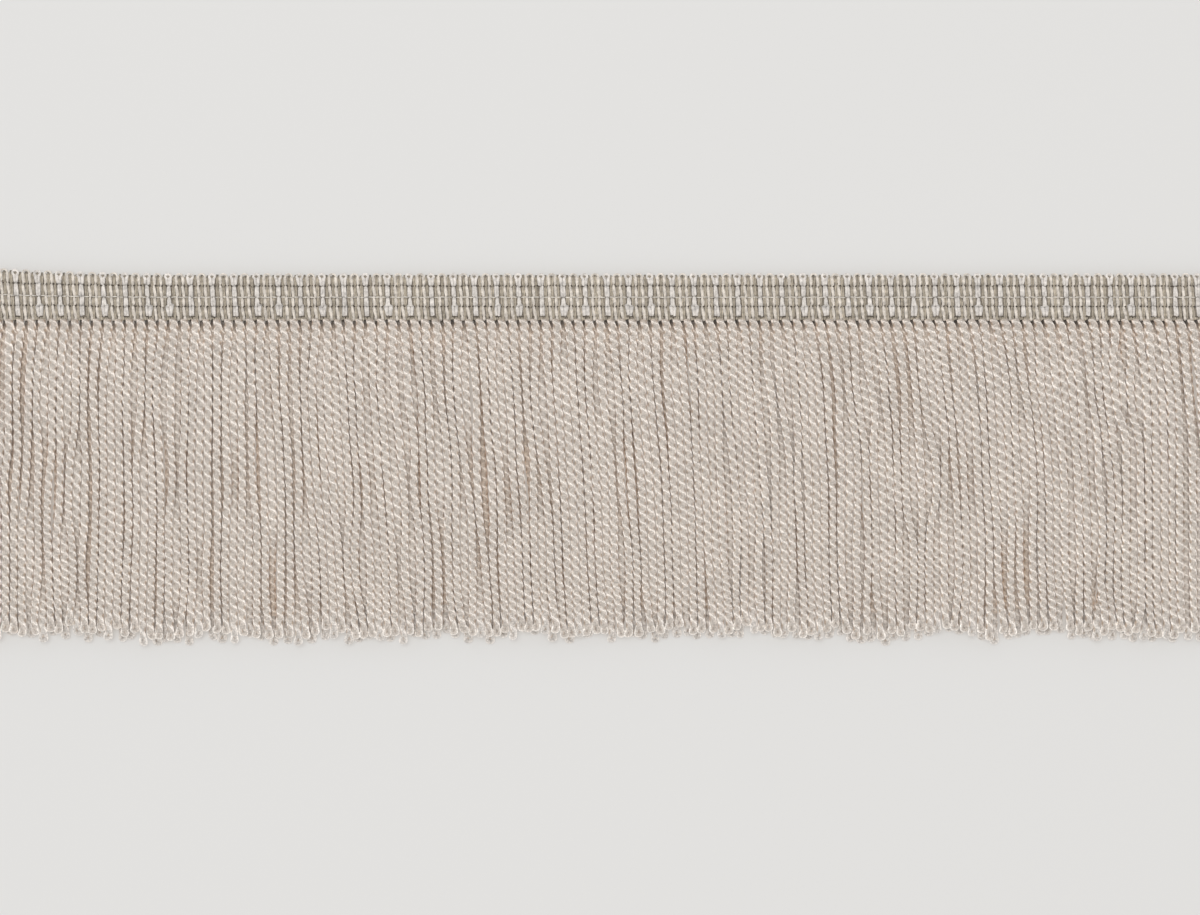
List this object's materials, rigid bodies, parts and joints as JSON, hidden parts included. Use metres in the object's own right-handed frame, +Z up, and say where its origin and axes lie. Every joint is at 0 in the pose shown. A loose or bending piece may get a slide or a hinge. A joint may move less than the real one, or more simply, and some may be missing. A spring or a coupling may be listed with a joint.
{
  "type": "bullion fringe",
  "caption": "Cut length of bullion fringe: overlapping rows of twisted cords with small end loops, lying flat below a narrow woven ribbed heading.",
  "frame": {"origin": "under the middle of the box of the whole trim, on the surface it lies on", "axes": "+X along the trim, +Y towards the heading's looped top edge, -Y towards the cords' end loops, +Z up from the surface, out of the trim's face"},
  "size_m": [0.3462, 0.1042, 0.0053],
  "materials": {
    "heading_yarn": "matt greige yarn with bright ivory bars, woven",
    "front_cord_yarn": "soft matt twisted yarn with a bright ivory thread",
    "back_cord_yarn": "soft matt twisted yarn with a bright ivory thread"
  },
  "bodies": {
    "root": {"heading": "heading_yarn", "cords_front": "front_cord_yarn", "cords_back": "back_cord_yarn"}
  },
  "joints": []
}
